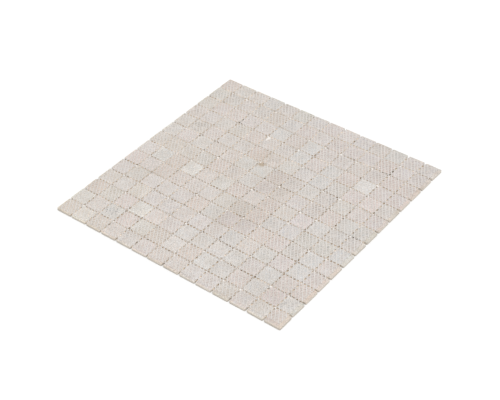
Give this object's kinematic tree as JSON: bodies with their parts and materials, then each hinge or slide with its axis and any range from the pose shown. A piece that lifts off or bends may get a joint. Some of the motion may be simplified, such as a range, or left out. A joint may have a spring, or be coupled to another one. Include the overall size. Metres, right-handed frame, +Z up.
{
  "type": "mosaic tile sheet",
  "caption": "Square stone mosaic sheet: small square tiles in rows with open joints, lying face down, tied together by a knitted net glued across their backs.",
  "frame": {"origin": "middle of the sheet on the plane of the tile faces, which lie on the floor", "axes": "+Z up, out of the net side of the sheet; +X and +Y along the two sides of the sheet; the rows of tiles run along X"},
  "size_m": [0.3046, 0.3046, 0.0036],
  "materials": {
    "stone": "sawn back, honed face",
    "net": "knitted net, set in clear glue"
  },
  "bodies": {
    "root": {"tile_row_01": "stone", "tile_row_02": "stone", "tile_row_03": "stone", "tile_row_04": "stone", "tile_row_05": "stone", "tile_row_06": "stone", "tile_row_07": "stone", "tile_row_08": "stone", "tile_row_09": "stone", "tile_row_10": "stone", "tile_row_11": "stone", "tile_row_12": "stone", "tile_row_13": "stone", "tile_row_14": "stone", "net_lower_threads": "net", "net_upper_threads": "net"}
  },
  "joints": []
}
